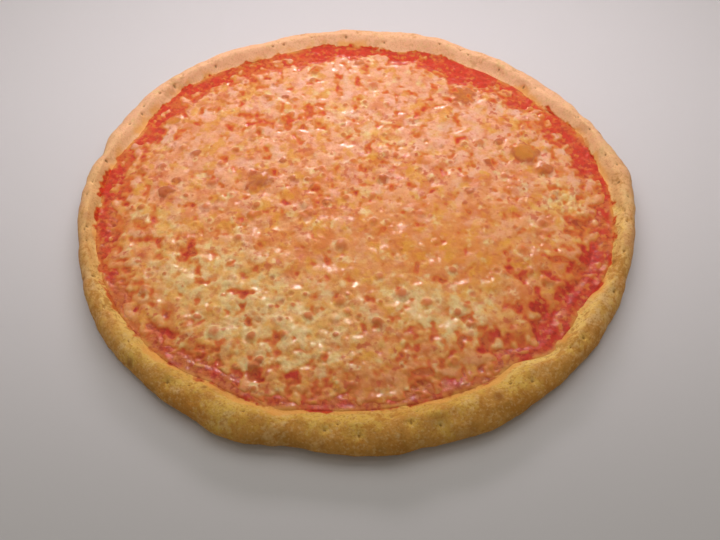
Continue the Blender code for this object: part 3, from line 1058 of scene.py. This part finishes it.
# Stage, light and camera
def make_floor():
    mesh = bpy.data.meshes.new("floor")
    half = FLOOR_HALF
    corners = [(-half, -half, 0), (half, -half, 0), (half, half, 0), (-half, half, 0)]
    mesh.from_pydata(corners, [], [(0, 1, 2, 3)])
    floor = bpy.data.objects.new("floor", mesh)
    bpy.context.scene.collection.objects.link(floor)
    material, _, shader = new_material("pale_floor")
    shader.inputs["Base Color"].default_value = (*FLOOR_COLOUR, 1)
    shader.inputs["Roughness"].default_value = 0.7
    mesh.materials.append(material)


def area_light(name, place, target, size, watts, colour, spread=180, diffuse=True, glossy=True):
    """A lamp that shines at the target; its spread is in degrees."""
    light = bpy.data.lights.new(name, "AREA")
    light.shape = "RECTANGLE"
    light.size, light.size_y = size
    light.energy = watts
    light.color = colour
    light.spread = math.radians(spread)
    lamp = bpy.data.objects.new(name, light)
    bpy.context.scene.collection.objects.link(lamp)
    lamp.location = place
    direction = Vector(target) - Vector(place)
    lamp.rotation_euler = direction.to_track_quat("-Z", "Y").to_euler()
    lamp.visible_camera = False
    lamp.visible_diffuse = diffuse
    lamp.visible_glossy = glossy


def make_lamps():
    """Soft light from a window behind the pizza, with two strips that only make glints."""
    area_light(
        "window",
        place=(0, 0.85, 0.42),
        target=(0, 0, 0),
        size=(0.6, 0.14),
        watts=3.45,
        colour=(1.0, 0.92, 1.0),
        glossy=False,
    )
    area_light(
        "low_strip",
        place=(-0.02, 0.88, 0.345),
        target=(0, 0.04, 0),
        size=(0.6, 0.10),
        watts=0.014,
        colour=(1.0, 0.93, 1.0),
        spread=9,
        diffuse=False,
    )
    area_light(
        "near_strip",
        place=(0, 0.80, 0.62),
        target=(0, -0.16, 0),
        size=(0.6, 0.05),
        watts=0.030,
        colour=(1.0, 0.95, 0.97),
        spread=12,
        diffuse=False,
    )
    area_light(
        "overhead",
        place=(0, 0.10, 0.34),
        target=(0, 0.08, 0),
        size=(0.6, 0.3),
        watts=0.70,
        colour=(1.0, 0.95, 0.98),
        glossy=False,
    )
    area_light(
        "back_fill",
        place=(0, -0.12, 0.60),
        target=(0, 0.15, 0),
        size=(0.5, 0.1),
        watts=0.22,
        colour=(1.0, 0.88, 0.98),
        spread=60,
        glossy=False,
    )


def make_world():
    """A dim even light from all round, in front of a plain grey backdrop."""
    world = bpy.data.worlds.new("studio")
    world.use_nodes = True
    nodes, links = world.node_tree.nodes, world.node_tree.links
    sky = nodes["Background"]
    sky.inputs["Color"].default_value = (*SKY_COLOUR, 1)
    sky.inputs["Strength"].default_value = SKY_STRENGTH
    backdrop = nodes.new("ShaderNodeBackground")
    backdrop.inputs["Color"].default_value = (*BACKDROP_COLOUR, 1)
    seen = nodes.new("ShaderNodeLightPath")
    either = nodes.new("ShaderNodeMixShader")
    links.new(seen.outputs["Is Camera Ray"], either.inputs["Fac"])
    links.new(sky.outputs["Background"], either.inputs[1])
    links.new(backdrop.outputs["Background"], either.inputs[2])
    links.new(either.outputs["Shader"], nodes["World Output"].inputs["Surface"])
    bpy.context.scene.world = world
    bpy.context.scene.view_settings.view_transform = "Standard"


def make_camera():
    data = bpy.data.cameras.new("camera")
    data.sensor_width = SENSOR_WIDTH
    data.lens = LENS
    camera = bpy.data.objects.new("camera", data)
    bpy.context.scene.collection.objects.link(camera)
    tilt = Matrix.Rotation(math.radians(CAMERA_TILT), 4, "X")
    roll = Matrix.Rotation(math.radians(CAMERA_ROLL), 4, "Z")
    camera.matrix_world = Matrix.Translation(CAMERA_PLACE) @ tilt @ roll
    bpy.context.scene.camera = camera


def finish_piece(piece, material, node):
    piece.data.materials.append(material)
    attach(piece, "root")
    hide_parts(node)


finish_piece(make_crust(), crust_material(), "crust")
finish_piece(make_sauce(), sauce_material(), "sauce")
finish_piece(make_cheese(), cheese_material(), "cheese")
make_floor()
make_lamps()
make_world()
make_camera()
